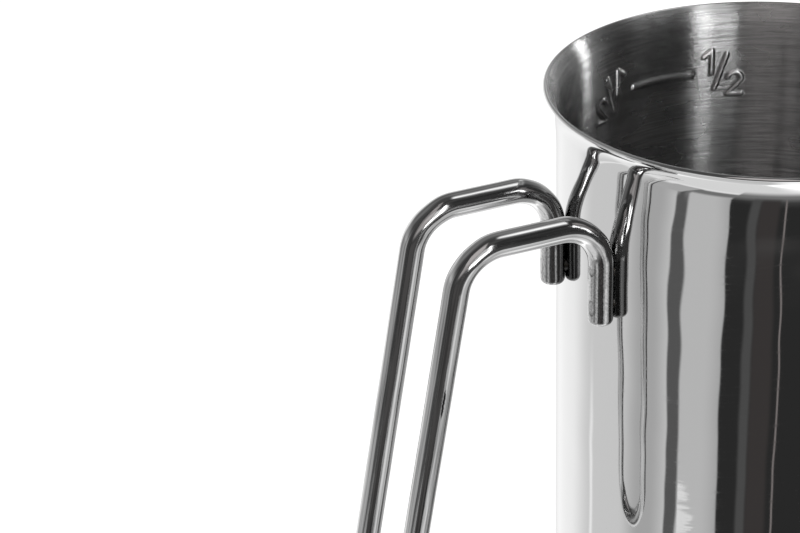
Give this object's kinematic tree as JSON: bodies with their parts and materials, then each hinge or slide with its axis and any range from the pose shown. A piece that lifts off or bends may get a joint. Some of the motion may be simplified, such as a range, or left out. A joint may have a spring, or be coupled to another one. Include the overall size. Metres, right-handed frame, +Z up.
{
  "type": "measuring jug",
  "caption": "Straight-sided stainless steel measuring jug with a flared rim, a pouring lip, pressed filling lines and an open handle bent from round rod.",
  "frame": {"origin": "on the jug's axis, in the plane of the ring that it stands on", "axes": "+Z up along the jug's axis, handle along -X, pouring lip along +X, filling lines on the +Y side"},
  "size_m": [0.1357, 0.0828, 0.1236],
  "materials": {
    "polished_sheet": "polished",
    "polished_rod": "polished",
    "weld_metal": "satin"
  },
  "bodies": {
    "root": {"jug_body": "polished_sheet", "handle_rod": "polished_rod", "weld_spots": "weld_metal"}
  },
  "joints": []
}
